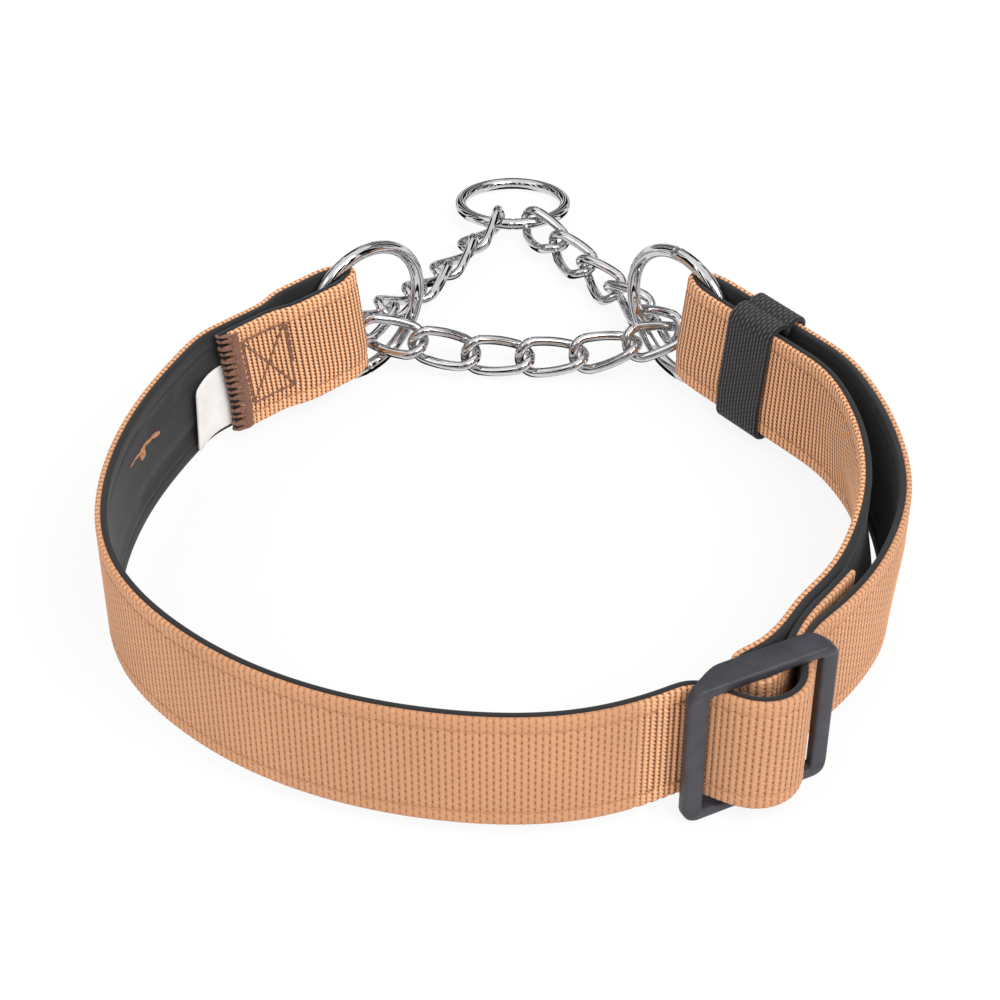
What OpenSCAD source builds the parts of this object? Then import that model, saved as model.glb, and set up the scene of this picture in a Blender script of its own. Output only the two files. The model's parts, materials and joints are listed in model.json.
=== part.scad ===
// Martingale collar: lined webbing strap, three-bar slider, elastic keeper,
// two strap rings and a slip chain of twisted curb links with a leash ring.
// Millimetres, +Z up, the collar stands on its edge on the plane z = 0.

/* [Strap] */
// Width of the strap
strap_w = 25; // [23:0.5:25.5]
// Thickness of the woven webbing
webbing_t = 1.1; // [0.9:0.1:1.3]
// Thickness of the bonded lining
lining_t = 1.2; // [1:0.1:1.4]
// Radius of the neck loop, at the bond between webbing and lining
neck_r = 75; // [72:1:84]
// Length of the end that is folded back and sewn at the left ring
sewn_end = 36; // [33:1:42]
// Open gap between the linings inside each ring fold
fold_gap = 3.6; // [3.4:0.1:4.4]

/* [Label] */
// Height of the sewn-in label
label_h = 15; // [10:1:20]
// Length of the label that shows past the sewn end
label_out = 12; // [8:1:14]
// Thickness of the label
label_t = 0.3; // [0.2:0.05:0.4]

/* [Slider] */
// Length of the slider along the strap
slider_len = 29.2; // [28.6:0.1:31]
// Depth of the top and bottom rails, across the strap's thickness
slider_depth = 5.4; // [4.8:0.1:6]
// Height of the top and bottom rails
rail_h = 2; // [1.6:0.1:2.6]
// Width of the broad end bar
broad_bar = 3.9; // [3.4:0.1:4.2]
// Width of the narrow end bar
narrow_bar = 3.3; // [2.8:0.1:3.6]
// Width of the middle bar
middle_bar = 3.4; // [2.8:0.1:3.8]
// Thickness of the end bars
bar_t = 2.5; // [2:0.1:3]
// Length of the rails' taper towards the broad end bar
broad_taper = 8; // [5:0.5:9]
// Length of the rails' taper towards the narrow end bar
narrow_taper = 4; // [3:0.5:6]
// Corner radius of the slider's outline, seen from the front
slider_corner = 3.2; // [2:0.1:4]

/* [Keeper] */
// Width of the elastic keeper along the strap
keeper_w = 11.5; // [9:0.5:14]
// Thickness of the elastic
keeper_t = 1; // [0.8:0.1:1.4]
// Distance from the right fold to the keeper's near edge
keeper_back = 17; // [12:0.5:20]

/* [Rings] */
// Room inside the two strap rings beyond the strap's width
ring_room = 1.6; // [1.4:0.1:2.4]
// Wire diameter of the strap rings
ring_wire = 2.8; // [2.4:0.1:3]
// Outer diameter of the leash ring
leash_od = 27; // [24:0.5:32]
// Wire diameter of the leash ring
leash_wire = 2.6; // [2.2:0.1:3]

/* [Chain] */
// Pitch of the chain, from joint to joint
link_pitch = 11.6; // [11:0.1:12.4]
// Outer width of a link
link_w = 8.8; // [8.6:0.1:9.4]
// Wire diameter of a link
link_wire = 2.1; // [1.8:0.1:2.2]
// Twist of a link from end to end
link_twist = 90; // [80:1:95]
// Play between two hooked links
link_play = 0.4; // [0.3:0.05:0.5]
// Distance between the two links hooked on the leash ring
hook_gap = 7.2; // [6.6:0.2:9]

/* [Fit] */
// Clearance between parts that move on each other
clearance = 0.3; // [0.2:0.05:0.4]

/* [Hidden] */
$fn = 64;
eps = 0.01;
curve_steps = 3;
wire_sides = 8;
end_steps = 8;
arm_steps = 4;

function dir(a) = [cos(a), sin(a)];
function left_of(v) = [-v[1], v[0]];
function unit(v) = v / norm(v);
function lift(p, z) = [p[0], p[1], z];
function flat(p) = [p[0], p[1]];
function last(v) = v[len(v) - 1];
function reversed(v) = [for (i = [len(v) - 1:-1:0]) v[i]];
function column(v, k) = [for (p = v) p[k]];
function total(v, n) = n <= 0 ? v[0] * 0 : v[n - 1] + total(v, n - 1);

// Chain run: joint heights, and the roll of each link about its own length
hook = (link_wire + link_play) / 2;
corner_z = 8.5;
front_z = [corner_z, 6.8, 4.7, 4.1, 4.7, 7, corner_z];
front_roll = [60, 52, 44, 37, 29, 20];
front_turn = [-13, -7, -1, -1, 5, 11];
left_z = [corner_z, 7, 4.6, 3.8, 4.2, 5.2];
left_roll = [-2, -14, -26, -37, -47];
right_z = [corner_z, 6.6, 5.6, 5.4, 5.2, 5.2];
right_roll = [74, 92, 108, 124, 138];
front_count = len(front_roll);
side_count = len(left_roll);

function reach(z) = [for (i = [0:len(z) - 2]) sqrt(link_pitch^2 - (z[i + 1] - z[i])^2)];
front_reach = reach(front_z);
front_steps = [for (i = [0:front_count - 1]) front_reach[i] * dir(front_turn[i])];
front_mid = total(front_steps, front_count) / 2;
front_joints = [for (i = [0:front_count]) lift(total(front_steps, i) - front_mid, front_z[i])];

// At the right ring the side run hooks past the corner, at the left ring short of it
left_corner = front_joints[0];
right_corner = last(front_joints);
left_base = left_corner - hook * unit(front_joints[1] - left_corner);
right_base = right_corner + hook * unit(front_joints[front_count - 1] - right_corner);
left_reach = reach(left_z);
right_reach = reach(right_z);
left_len = total(left_reach, side_count) - hook * left_reach[0] / link_pitch;
right_len = total(right_reach, side_count) + hook * right_reach[0] / link_pitch;

// Meeting point of two circles, on the left of the line from a to b
function meet(a, ra, b, rb) =
    let (d = norm(b - a), e = unit(b - a), x = (d^2 + ra^2 - rb^2) / (2 * d))
    a + x * e + sqrt(ra^2 - x^2) * left_of(e);
left_hook = meet(flat(left_base), left_len, flat(right_base) - [hook_gap, 0], right_len);
right_hook = left_hook + [hook_gap, 0];

function side_joints(base, end, z, span, sign) =
    let (a = unit(end - flat(base)), start = base + sign * hook * unit(lift(a * span[0], z[1] - z[0])))
    [for (i = [0:len(z) - 1]) start + lift(a * total(span, i), z[i] - z[0])];
left_joints = side_joints(left_base, left_hook, left_z, left_reach, -1);
right_joints = side_joints(right_base, right_hook, right_z, right_reach, 1);

// Leash ring: hangs in the two last links and rests on the ground behind them
leash_r = (leash_od - leash_wire) / 2;
function wire_seat(j) = last(j) - (leash_wire + link_play) / 2 * unit(last(j) - j[side_count - 1]);
seat_l = wire_seat(left_joints);
seat_r = wire_seat(right_joints);
seat_mid = (seat_l + seat_r) / 2;
leash_back = sqrt(leash_r^2 - (norm(seat_r - seat_l) / 2)^2);
leash_tilt = asin((seat_mid[2] - leash_wire / 2) / (leash_back + leash_r));
leash_x = unit(seat_r - seat_l);
leash_y = cos(leash_tilt) * unit(cross([0, 0, 1], leash_x)) - [0, 0, sin(leash_tilt)];
leash_c = seat_mid + leash_back * leash_y;

// Strap rings: each stands on edge in its fold, with its wire inside the chain's corner
ring_lift = 0.1;
ring_od = strap_w + ring_room + 2 * ring_wire;
ring_z = ring_lift + ring_od / 2;
strap_z = ring_z - strap_w / 2;
corner_in = 2.7;
left_az = 42;
left_off = 3.2;
right_az = 130;
right_off = 4.2;
left_ring_c = flat(left_corner) - corner_in * dir(left_az) - left_off * left_of(dir(left_az));
right_ring_c = flat(right_corner) - corner_in * dir(right_az) + right_off * left_of(dir(right_az));

// Strap route, along the bond between webbing and lining
fold_span = fold_gap + 2 * lining_t;
fold_tip = lining_t + 0.5;
fold_back = 1.4;
sewn_span = 2 * lining_t + label_t + 0.2;
neck_c = [-5.4, -(neck_r - 9.7)];
slider_at = 305.5;
slider_turn = -9;
slider_c = neck_c + (neck_r - 1) * dir(slider_at);
slider_az = slider_at + 90 + slider_turn;
bar_s = 0.5;
bar_n = -0.1;
bar_half = 1.2;

// Inner edges of the slider's end bars, where the strap passes up and down
left_gate = broad_bar - slider_len / 2;
right_gate = slider_len / 2 - narrow_bar;
bar_wrap = norm([middle_bar / 2, bar_half]) + clearance + 0.1 + lining_t;

function around(bearing, offset) = neck_c + (neck_r + offset) * dir(bearing);
function in_left(t, n) = left_ring_c - t * dir(left_az) + n * left_of(dir(left_az));
function in_right(t, n) = right_ring_c - t * dir(right_az) + n * left_of(dir(right_az));
function in_slider(s, n) = slider_c + s * dir(slider_az) - n * left_of(dir(slider_az));
function fold_arc(r) = [for (a = [-75:25:75]) [fold_back + r - r * cos(a), r * sin(a)]];
function wrap_arc(r) = [for (a = [-90:-22.5:-270]) [bar_s + r * cos(a), bar_n + r * sin(a)]];

tail_route = [for (t = [sewn_end, sewn_end - 5, 26, 22.5]) in_left(t, -sewn_span / 2)];
left_in = [for (t = [18.5, 14, 9, 5.5]) in_left(t, -fold_span / 2)];
left_bend = [for (p = fold_arc(fold_tip)) in_left(p[0], p[1])];
left_out = [for (t = [5.5, 9, 14, 18.5]) in_left(t, fold_span / 2)];
sewn_route = [for (t = [22.5, 26, 31, 35, 40]) in_left(t, sewn_span / 2)];
neck_route = [for (p = [[153, -5.6], [161, -5.4], [170, -4.2], [181, -2.2], [193, 0.5], [205, 2.5],
    [218, 1.5], [234, 0], [251, -1.5], [268, -1.8], [280, -1.6]]) around(p[0], p[1])];
slider_up = [for (p = [[-11.3, -1.2], [-5.3, -1.1], [-1.3, -1.3], [2.1, 1.6], [4.7, 6.2]])
    in_slider(left_gate + p[0], p[1])];
slider_over = [for (s = [-2, 3]) in_slider(s, 9.2)];
slider_down = [for (p = [[-4.3, 6.4], [-2.3, 1.8], [0.7, -2.2], [4.7, -4.4], [10.7, -6.4]])
    in_slider(right_gate + p[0], p[1])];
outer_route = [for (p = [[331, 0.5], [340, 1], [351, 1.6], [3, 0.4], [13, -0.4]]) around(p[0], p[1])];
right_in = [for (t = [44, 36, 28, 20, 12, 5.5]) in_right(t, -fold_span / 2)];
right_bend = [for (p = fold_arc(fold_tip)) in_right(p[0], p[1])];
right_out = [for (t = [5.5, 12, 20, 28, 36, 44]) in_right(t, fold_span / 2)];
inner_route = [for (p = [[13, -6.4], [3, -6.2], [-9, -6.2], [-20, -6.4]]) around(p[0], p[1])];
slider_under = [for (p = [[28, -16.8], [22, -13.5], [16, -10.8], [12, -8], [8, -5.7], [4, -4.2]])
    in_slider(p[0], p[1])];
wrap_route = [for (p = wrap_arc(bar_wrap)) in_slider(p[0], p[1])];
slider_tail = [for (p = [[-6.9, 1.8], [-3.3, -1.5], [0.7, -4.9], [4.7, -7.6], [10.7, -10.4], [16.7, -13.6]])
    in_slider(right_gate + p[0], p[1])];
route = concat(tail_route, left_in, left_bend, left_out, sewn_route, neck_route, slider_up, slider_over,
    slider_down, outer_route, right_in, right_bend, right_out, inner_route, slider_under, wrap_route,
    slider_tail);

// Uniform cubic spline through the guide points, from the first to the last
function spline_at(a, b, c, d, u) =
    ((1 - u)^3 * a + (3 * u^3 - 6 * u^2 + 4) * b + (-3 * u^3 + 3 * u^2 + 3 * u + 1) * c + u^3 * d) / 6;
function spline(p, steps) =
    let (n = len(p), q = concat([2 * p[0] - p[1]], p, [2 * p[n - 1] - p[n - 2]]))
    concat([for (i = [0:n - 2], j = [0:steps - 1]) spline_at(q[i], q[i + 1], q[i + 2], q[i + 3], j / steps)],
        [p[n - 1]]);
bond = spline(route, curve_steps);
bond_left = [for (i = [0:len(bond) - 1])
    left_of(unit(bond[min(i + 1, len(bond) - 1)] - bond[max(i - 1, 0)]))];
function side_line(offset) = [for (i = [0:len(bond) - 1]) bond[i] + offset * bond_left[i]];

// Label: follows the inside of the outer layer, from inside the sewn end to past it
label_from = sewn_end - 5;
label_to = sewn_end + label_out;
function left_t(p) = (left_ring_c - p) * dir(left_az);
function left_n(p) = (p - left_ring_c) * left_of(dir(left_az));
label_span = [for (i = [0:len(bond) - 1]) if (left_t(bond[i]) > label_from && left_t(bond[i]) < label_to
    && left_n(bond[i]) > 0 && i < len(bond) / 3) i];

// Slider: rails past the strap edges, bars between them
slider_low = 0;
slider_high = strap_z + strap_w + clearance + rail_h;
rail_mid = 1.4;
rail_out = rail_mid + slider_depth / 2;
rail_in = rail_mid - slider_depth / 2;
bar_in = rail_out - bar_t;

// The part is centred on its own outline
outline = concat(side_line(-webbing_t), [for (s = [-0.5, 0.5]) in_slider(s * slider_len, rail_out)]);
back_y = leash_c[1] + leash_r * leash_y[1] + leash_wire / 2;
centre = [(min(column(outline, 0)) + max(column(outline, 0))) / 2, (min(column(outline, 1)) + back_y) / 2, 0];

// Centre line of one link: a stadium twisted along its length
bend_r = (link_w - link_wire) / 2;
link_len = link_pitch + 2 * hook;
arm_half = link_len / 2 - bend_r;
function twisted(x, y) = let (a = -link_twist * x / link_len) [x, y * cos(a), y * sin(a)];
link_line = concat(
    [for (i = [0:arm_steps - 1]) twisted(-arm_half + 2 * arm_half * i / arm_steps, -bend_r)],
    [for (i = [0:end_steps - 1]) let (a = 180 * i / end_steps)
        twisted(arm_half + bend_r * sin(a), -bend_r * cos(a))],
    [for (i = [0:arm_steps - 1]) twisted(arm_half - 2 * arm_half * i / arm_steps, bend_r)],
    [for (i = [0:end_steps - 1]) let (a = 180 * i / end_steps)
        twisted(-arm_half - bend_r * sin(a), bend_r * cos(a))]);

// Wire of round section swept along a closed line
module closed_wire(line, d) {
    n = len(line);
    m = wire_sides;
    points = [for (i = [0:n - 1])
        let (t = unit(line[(i + 1) % n] - line[(i + n - 1) % n]),
             u = unit(line[i] - (line[i] * t) * t),
             v = cross(t, u))
        for (k = [0:m - 1]) line[i] + d / 2 * (cos(360 * k / m) * u + sin(360 * k / m) * v)];
    faces = [for (i = [0:n - 1], k = [0:m - 1], h = [0, 1])
        let (j = (i + 1) % n, l = (k + 1) % m, a = i * m + k, b = i * m + l, c = j * m + l, e = j * m + k)
        h == 0 ? [a, c, b] : [a, e, c]];
    polyhedron(points, faces);
}

// One link from joint a to joint b, rolled about its own length
module link(a, b, roll) {
    t = unit(b - a);
    side = unit(cross([0, 0, 1], t));
    up = cross(t, side);
    y = cos(roll) * side + sin(roll) * up;
    z = cross(t, y);
    mid = (a + b) / 2;
    color("silver") translate(mid - centre)
        multmatrix([[t[0], y[0], z[0], 0], [t[1], y[1], z[1], 0], [t[2], y[2], z[2], 0], [0, 0, 0, 1]])
            closed_wire(link_line, link_wire);
}

module chain_front(i) link(front_joints[i - 1], front_joints[i], front_roll[i - 1]);
module chain_left(i)
    link(left_joints[side_count - i], left_joints[side_count - i + 1], left_roll[side_count - i]);
module chain_right(i)
    link(right_joints[side_count - i], right_joints[side_count - i + 1], right_roll[side_count - i]);

// Band of the strap between two offsets from the bond
module band(from, to) {
    translate(-centre + [0, 0, strap_z]) linear_extrude(strap_w)
        polygon(concat(side_line(from), reversed(side_line(to))));
}

module webbing() color([0.8, 0.6, 0.44]) band(-webbing_t, 0);

module lining() color([0.2, 0.2, 0.22]) band(0, lining_t);

module size_label() {
    near = [for (i = label_span) bond[i] + (lining_t + 0.1) * bond_left[i]];
    far = [for (i = label_span) bond[i] + (lining_t + 0.1 + label_t) * bond_left[i]];
    color("white") translate(-centre + [0, 0, strap_z + 1]) linear_extrude(label_h)
        polygon(concat(near, reversed(far)));
}

module wire_ring(od, wire) rotate_extrude() translate([(od - wire) / 2, 0]) circle(d = wire, $fn = 32);

module strap_ring(at, az)
    color("silver") translate(lift(at, ring_z) - centre) rotate([0, 0, az]) rotate([90, 0, 0])
        wire_ring(ring_od, ring_wire);

module left_ring() strap_ring(left_ring_c, left_az);

module right_ring() strap_ring(right_ring_c, right_az);

module leash_ring()
    color("silver") translate(leash_c - centre)
        rotate([0, 0, atan2(leash_y[1], leash_y[0]) - 90]) rotate([-leash_tilt, 0, 0])
            wire_ring(leash_od, leash_wire);

module round_rect(size, r) {
    translate([r, 0]) square([size[0] - 2 * r, size[1]]);
    translate([0, r]) square([size[0], size[1] - 2 * r]);
    for (x = [r, size[0] - r], y = [r, size[1] - r]) translate([x, y]) circle(r, $fn = 32);
}

// Plan of a slider bar, from its left edge and inner face
module bar(s, n, size, r) {
    translate([s, n, slider_low + rail_h / 2]) linear_extrude(slider_high - slider_low - rail_h)
        round_rect(size, r);
}

// Plan of a slider rail, tapered at both ends down to the bars' thickness
module rail_plan() {
    end = slider_len / 2;
    polygon([[-end, rail_out], [end, rail_out], [end, bar_in], [end - narrow_taper, rail_in],
        [broad_taper - end, rail_in], [-end, bar_in]]);
}

module slider() {
    color([0.3, 0.3, 0.34])
        translate(lift(slider_c, 0) - centre) rotate([0, 0, slider_az]) mirror([0, 1, 0]) intersection() {
            union() {
                for (z = [slider_low, slider_high - rail_h])
                    translate([0, 0, z]) linear_extrude(rail_h) rail_plan();
                bar(-slider_len / 2 + eps, bar_in, [broad_bar, bar_t], 1);
                bar(slider_len / 2 - narrow_bar - eps, bar_in, [narrow_bar, bar_t], 1);
                bar(bar_s - middle_bar / 2, bar_n - bar_half, [middle_bar, 2 * bar_half], 0.8);
            }
            translate([-slider_len / 2, rail_out + 1, slider_low]) rotate([90, 0, 0])
                linear_extrude(slider_depth + 2) round_rect([slider_len, slider_high], slider_corner);
        }
}

module elastic_keeper() {
    inner = [fold_span + 2 * webbing_t + 2 * clearance, strap_w + 2 * clearance];
    outer = inner + 2 * [keeper_t, keeper_t];
    middle = lift(in_right(keeper_back + keeper_w / 2, 0), strap_z + strap_w / 2);
    color([0.22, 0.22, 0.24]) translate(middle - centre) rotate([0, 0, right_az + 90]) rotate([90, 0, 0])
        linear_extrude(keeper_w, center = true) difference() {
            translate(-outer / 2) round_rect(outer, keeper_t + clearance);
            translate(-inner / 2) round_rect(inner, clearance);
        }
}

webbing();
lining();
size_label();
slider();
elastic_keeper();
left_ring();
right_ring();
leash_ring();
for (i = [1:side_count]) chain_left(i);
for (i = [1:front_count]) chain_front(i);
for (i = [1:side_count]) chain_right(i);
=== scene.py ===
"""Looks of the martingale collar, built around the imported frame.

The strap's webbing, lining, label, keeper and threads are modelled here as soft goods, and the
slider, rings and chain links as finely rounded solids. Sizes are in millimetres in the classes and
in metres in the meshes.
"""

from __future__ import annotations

import json
import logging
import math
from dataclasses import dataclass, replace
from enum import Enum

import bmesh
import bpy
import numpy as np
from mathutils import Matrix, Vector
from mathutils.kdtree import KDTree

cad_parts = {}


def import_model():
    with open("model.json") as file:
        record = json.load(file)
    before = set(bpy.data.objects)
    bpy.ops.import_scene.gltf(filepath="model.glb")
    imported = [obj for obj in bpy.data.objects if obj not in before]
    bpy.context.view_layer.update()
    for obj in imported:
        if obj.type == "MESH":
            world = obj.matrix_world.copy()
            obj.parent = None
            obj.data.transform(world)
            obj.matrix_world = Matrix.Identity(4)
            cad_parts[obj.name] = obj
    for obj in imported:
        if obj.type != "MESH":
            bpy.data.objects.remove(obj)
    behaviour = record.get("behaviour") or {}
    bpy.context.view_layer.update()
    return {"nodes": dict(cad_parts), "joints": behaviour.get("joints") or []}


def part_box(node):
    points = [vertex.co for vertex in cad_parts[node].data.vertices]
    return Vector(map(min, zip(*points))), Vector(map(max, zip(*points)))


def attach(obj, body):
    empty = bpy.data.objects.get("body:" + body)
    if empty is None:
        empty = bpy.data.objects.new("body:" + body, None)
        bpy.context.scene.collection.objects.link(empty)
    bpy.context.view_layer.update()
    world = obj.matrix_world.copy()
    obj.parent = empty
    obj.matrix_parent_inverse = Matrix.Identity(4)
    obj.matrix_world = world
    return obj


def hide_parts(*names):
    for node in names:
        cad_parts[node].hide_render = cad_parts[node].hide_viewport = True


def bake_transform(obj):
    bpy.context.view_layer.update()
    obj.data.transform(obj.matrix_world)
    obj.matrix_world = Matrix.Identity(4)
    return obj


LOG = logging.getLogger("collar")
MM = 0.001
STRAP_LENGTH = 606.0
FRONT_BLEND = (200, 258)
SIDE_BLEND = (301.5, 355.5)
INNER_BLEND = (497.5, 551.5)


def eased(share: np.ndarray) -> np.ndarray:
    """Holds a share between 0 and 1 and smooths its start and end.

    Args:
        share: Shares to ease.

    Returns:
        The eased shares.
    """
    share = np.clip(share, 0, 1)
    return share * share * (3 - 2 * share)


def ruler(points: np.ndarray) -> np.ndarray:
    """Measures along a line.

    Args:
        points: Points of the line, in order.

    Returns:
        The length from the first point to each point.
    """
    steps = np.linalg.norm(np.diff(points, axis=0), axis=1)
    return np.concatenate(([0], np.cumsum(steps)))


class Carrier(Enum):
    """What a stretch of the strap moves with."""

    STRAP = "strap"
    SLIDER = "slider"
    FRONT = "front"
    SIDE = "side"


@dataclass(frozen=True)
class Span:
    """A stretch of the strap between two places along its bond line.

    Attributes:
        name: Name of the stretch, used in the names of its pieces.
        start: Arc length of its first end, in millimetres.
        end: Arc length of its second end, in millimetres.
        carrier: What the stretch moves with.
    """

    name: str
    start: float
    end: float
    carrier: Carrier

    def stations(self, step: float) -> np.ndarray:
        """Returns evenly spaced arc lengths from end to end, about a step apart."""
        return np.linspace(self.start, self.end, math.ceil((self.end - self.start) / step) + 1)


SPANS = (
    Span("left", 0, FRONT_BLEND[0], Carrier.STRAP),
    Span("front", *FRONT_BLEND, Carrier.FRONT),
    Span("bulge", FRONT_BLEND[1], SIDE_BLEND[0], Carrier.SLIDER),
    Span("side", *SIDE_BLEND, Carrier.SIDE),
    Span("right", SIDE_BLEND[1], INNER_BLEND[0], Carrier.STRAP),
    Span("inner", *INNER_BLEND, Carrier.SIDE),
    Span("tail", INNER_BLEND[1], STRAP_LENGTH, Carrier.SLIDER),
)


@dataclass(frozen=True)
class StrapLean:
    """Slant of a stretch of the strap: its upper or lower part is pulled aside.

    Attributes:
        middle: Arc length of the stretch's middle, in millimetres.
        bearing: Direction away from which it is pulled, in degrees.
        before: Distances before the middle where the slant is still full, and where it has faded.
        after: The same distances after the middle.
        slope: Pull for each millimetre of height.
        level: Height from which the strap is pulled.
        lower: True where the part below that height is pulled, and not the part above.
    """

    middle: float
    bearing: float
    before: tuple[float, float]
    after: tuple[float, float]
    slope: float = 0.12
    level: float = 6.0
    lower: bool = False

    def shift(self, arc: np.ndarray, height: np.ndarray) -> np.ndarray:
        """Gives the pull at places on the strap.

        Args:
            arc: Arc lengths, in millimetres.
            height: Heights above the strap's lower edge.

        Returns:
            Shifts in plan, in millimetres.
        """
        off = arc - self.middle
        full = np.where(off < 0, self.before[0], self.after[0])
        none = np.where(off < 0, self.before[1], self.after[1])
        weight = eased((none - np.abs(off)) / (none - full))
        rise = self.level - height if self.lower else height - self.level
        pull = self.slope * weight * np.maximum(0, rise)
        a = math.radians(self.bearing)
        return -pull[..., None] * np.array((math.cos(a), math.sin(a)))


LEANS = (
    StrapLean(35.9, 42.0, (60, 70), (16, 42)),
    StrapLean(429.4, 130.0, (16, 44), (16, 44)),
    StrapLean(352.0, 0.0, (10, 28), (10, 36), 0.11, 14.0, True),
    StrapLean(503.0, 180.0, (10, 36), (10, 28), 0.17, 14.0, True),
)


class Recipe:
    """A material and the node helpers that fill it."""

    def __init__(self, name: str) -> None:
        """Starts a material with one Principled shader.

        Args:
            name: Name of the material.
        """
        self.material = bpy.data.materials.new(name)
        self.material.use_nodes = True
        self.tree = self.material.node_tree
        self.tree.nodes.clear()
        self.shader = self.tree.nodes.new("ShaderNodeBsdfPrincipled")
        output = self.tree.nodes.new("ShaderNodeOutputMaterial")
        self.tree.links.new(self.shader.outputs["BSDF"], output.inputs["Surface"])

    def feed(self, socket: bpy.types.NodeSocket, value: object) -> None:
        """Links a socket to another one, or sets its plain value.

        Args:
            socket: Input socket to fill.
            value: Output socket, number or colour.
        """
        if isinstance(value, bpy.types.NodeSocket):
            self.tree.links.new(value, socket)
        else:
            socket.default_value = value

    def plain(self, **values: object) -> None:
        """Sets uniform values on the shader's own sockets, by name with underscores.

        Args:
            **values: Socket names and their values.
        """
        for name, value in values.items():
            self.shader.inputs[name.replace("_", " ")].default_value = value

    def math(self, operation: str, *values: object) -> bpy.types.NodeSocket:
        """Adds a Math node.

        Args:
            operation: Name of the operation.
            *values: Numbers or sockets, in order.

        Returns:
            The result socket.
        """
        node = self.tree.nodes.new("ShaderNodeMath")
        node.operation = operation
        for socket, value in zip(node.inputs, values):
            self.feed(socket, value)
        return node.outputs[0]

    def wave(self, phase: bpy.types.NodeSocket) -> bpy.types.NodeSocket:
        """Adds a sine that crosses zero at every whole step of a phase.

        Args:
            phase: Place, counted in steps.

        Returns:
            The wave, -1 to 1.
        """
        return self.math("SINE", self.math("MULTIPLY", phase, math.pi))

    def stagger(self, column: bpy.types.NodeSocket) -> bpy.types.NodeSocket:
        """Adds half a step to every second column.

        Args:
            column: Whole number of the column.

        Returns:
            The half step, or 0.
        """
        return self.math("MULTIPLY", self.math("FLOORED_MODULO", column, 2.0), 0.5)

    def object_point(self) -> bpy.types.NodeSocket:
        """Returns the Object coordinates, in metres."""
        return self.tree.nodes.new("ShaderNodeTexCoord").outputs["Object"]

    def uv_point(self) -> bpy.types.NodeSocket:
        """Returns the UV coordinates, which the pieces hold in millimetres."""
        return self.tree.nodes.new("ShaderNodeTexCoord").outputs["UV"]

    def parts(self, vector: bpy.types.NodeSocket) -> tuple[bpy.types.NodeSocket, ...]:
        """Splits a vector.

        Args:
            vector: Vector socket.

        Returns:
            Its three parts.
        """
        node = self.tree.nodes.new("ShaderNodeSeparateXYZ")
        self.feed(node.inputs[0], vector)
        return tuple(node.outputs)

    def noise(
        self,
        vector: bpy.types.NodeSocket,
        scale: float,
        detail: float = 2.0,
        stretch: tuple[float, float, float] = (1, 1, 1),
    ) -> bpy.types.NodeSocket:
        """Adds a noise texture.

        Args:
            vector: Coordinates.
            scale: Noise scale.
            detail: Octaves of the noise.
            stretch: Scale of each axis before the noise.

        Returns:
            The noise value, about 0 to 1.
        """
        mapping = self.tree.nodes.new("ShaderNodeMapping")
        mapping.inputs["Scale"].default_value = stretch
        self.feed(mapping.inputs["Vector"], vector)
        node = self.tree.nodes.new("ShaderNodeTexNoise")
        self.feed(node.inputs["Vector"], mapping.outputs[0])
        node.inputs["Scale"].default_value = scale
        node.inputs["Detail"].default_value = detail
        return node.outputs[0]

    def ramp(
        self, value: bpy.types.NodeSocket, stops: tuple[tuple[float, tuple], ...]
    ) -> bpy.types.NodeSocket:
        """Adds a colour ramp.

        Args:
            value: Position on the ramp.
            stops: Places and colours.

        Returns:
            The colour socket.
        """
        node = self.tree.nodes.new("ShaderNodeValToRGB")
        self.feed(node.inputs[0], value)
        band = node.color_ramp
        while len(band.elements) < len(stops):
            band.elements.new(0.5)
        for element, (place, colour) in zip(band.elements, stops):
            element.position = place
            element.color = (*colour, 1)
        return node.outputs[0]

    def shade(
        self, colour: bpy.types.NodeSocket, factor: bpy.types.NodeSocket
    ) -> bpy.types.NodeSocket:
        """Multiplies a colour by a value.

        Args:
            colour: Colour socket.
            factor: Value socket, 1 leaves the colour as it is.

        Returns:
            The shaded colour.
        """
        node = self.tree.nodes.new("ShaderNodeVectorMath")
        node.operation = "SCALE"
        self.feed(node.inputs[0], colour)
        self.feed(node.inputs["Scale"], factor)
        return node.outputs[0]

    def mixed(
        self, share: bpy.types.NodeSocket, first: object, second: object
    ) -> bpy.types.NodeSocket:
        """Mixes two colours.

        Args:
            share: Share of the second colour.
            first: Colour or socket.
            second: Colour or socket.

        Returns:
            The mixed colour.
        """
        node = self.tree.nodes.new("ShaderNodeMix")
        node.data_type = "RGBA"
        self.feed(node.inputs["Factor"], share)
        self.feed(node.inputs[6], first)
        self.feed(node.inputs[7], second)
        return node.outputs[2]

    def relief(self, height: bpy.types.NodeSocket, distance: float, strength: float) -> None:
        """Bumps the shader.

        Args:
            height: Height value, 0 to 1.
            distance: Depth of the relief in metres.
            strength: Strength of the bump.
        """
        node = self.tree.nodes.new("ShaderNodeBump")
        node.inputs["Strength"].default_value = strength
        node.inputs["Distance"].default_value = distance
        self.feed(node.inputs["Height"], height)
        self.feed(self.shader.inputs["Normal"], node.outputs[0])


def srgb(red: int, green: int, blue: int) -> tuple[float, float, float]:
    """Turns a colour as seen on a screen into the linear colour that shaders take.

    Args:
        red: Red, 0 to 255.
        green: Green, 0 to 255.
        blue: Blue, 0 to 255.

    Returns:
        The linear colour.
    """
    parts = []
    for value in (red, green, blue):
        c = value / 255
        parts.append(c / 12.92 if c <= 0.04045 else ((c + 0.055) / 1.055) ** 2.4)
    return tuple(parts)


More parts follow.
